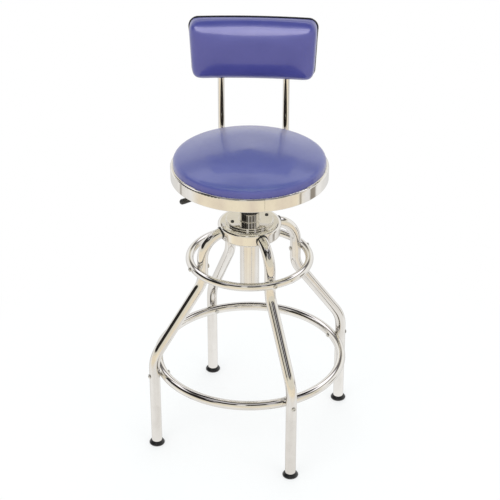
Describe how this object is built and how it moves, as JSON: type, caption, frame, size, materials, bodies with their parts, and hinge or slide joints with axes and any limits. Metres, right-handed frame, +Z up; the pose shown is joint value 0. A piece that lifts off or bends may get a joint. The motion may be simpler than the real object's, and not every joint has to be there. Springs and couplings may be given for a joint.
{
  "type": "stool",
  "caption": "Tall stool on bent tube legs with two ring rails, a swivelling gas-lift round seat in a metal band and a small padded backrest.",
  "frame": {"origin": "on the floor under the column axis", "axes": "+Z up along the column, the sitter faces -Y, +X is to the right of someone facing the stool from the front"},
  "size_m": [0.4768, 0.4768, 0.992],
  "materials": {
    "chrome": "polished chrome plate on steel",
    "rubber": "moulded black rubber, satin",
    "black_plastic": "moulded black plastic",
    "zinc_steel": "bright zinc-plated steel",
    "black_steel": "black powder coat or black oxide",
    "brass": "machined brass",
    "pale_plywood": "plain pale poplar plywood",
    "plywood": "raw plywood",
    "blue_vinyl": "smooth glossy violet-blue upholstery vinyl",
    "black_vinyl": "black grained upholstery vinyl"
  },
  "bodies": {
    "base": {"bearing_lower_race": "zinc_steel", "column_collar": "chrome", "column_end_plate": "zinc_steel", "column_lower_collar": "chrome", "column_tube": "chrome", "foot_back": "rubber", "foot_front": "rubber", "foot_left": "rubber", "foot_right": "rubber", "footrest_ring": "chrome", "footrest_ring_bolts": "zinc_steel", "footrest_ring_nuts": "zinc_steel", "guide_bushing": "black_plastic", "hub_cup": "chrome", "hub_lid": "chrome", "hub_nuts": "zinc_steel", "hub_screws": "black_steel", "leg_back": "chrome", "leg_front": "chrome", "leg_grommets": "black_plastic", "leg_left": "chrome", "leg_right": "chrome", "upper_ring": "chrome", "upper_ring_bolts": "zinc_steel", "upper_ring_nuts": "zinc_steel"},
    "spindle": {"bearing_balls": "zinc_steel", "bearing_upper_race": "zinc_steel", "piston_rod": "zinc_steel", "piston": "zinc_steel", "rod_clip": "zinc_steel"},
    "seat": {"gas_cylinder": "black_steel", "cylinder_gland": "zinc_steel", "valve_body": "brass", "seat_socket": "zinc_steel", "seat_plate": "zinc_steel", "lever_bracket": "zinc_steel", "lever_pivot_pin": "zinc_steel", "seat_plate_bolts": "zinc_steel", "seat_tee_nuts": "zinc_steel", "seat_board": "pale_plywood", "seat_band": "chrome", "seat_cushion": "blue_vinyl", "backrest_post_left": "chrome", "backrest_post_right": "chrome", "post_spacers": "black_plastic", "post_bolts": "zinc_steel", "post_plugs": "black_plastic", "backrest_panel": "plywood", "backrest_rear_cover": "black_vinyl", "backrest_cushion": "blue_vinyl", "backrest_bolts": "zinc_steel", "backrest_insert_nuts": "zinc_steel"},
    "lever": {"lever_rod": "zinc_steel", "lever_knob": "black_plastic"},
    "release_pin": {"release_pin": "zinc_steel"}
  },
  "joints": [
    {"name": "swivel", "type": "hinge", "parent": "base", "child": "spindle", "pos_m": [0, 0, 0.399], "axis": [0, 0, 1], "continuous": true},
    {"name": "lift", "type": "slide", "parent": "spindle", "child": "seat", "axis": [0, 0, 1], "range_m": [0, 0.12]},
    {"name": "lever_pull", "type": "hinge", "parent": "seat", "child": "lever", "pos_m": [-0.02832, -0.02057, 0.6595], "axis": [-0.5878, 0.809, 0], "range_deg": [0, 3]},
    {"name": "pin_press", "type": "slide", "parent": "seat", "child": "release_pin", "axis": [0, 0, -1], "range_m": [0, 0.002]}
  ],
  "couplings": [
    {"joint": "pin_press", "follows": "lever_pull", "m_per_rad": 0.036}
  ]
}
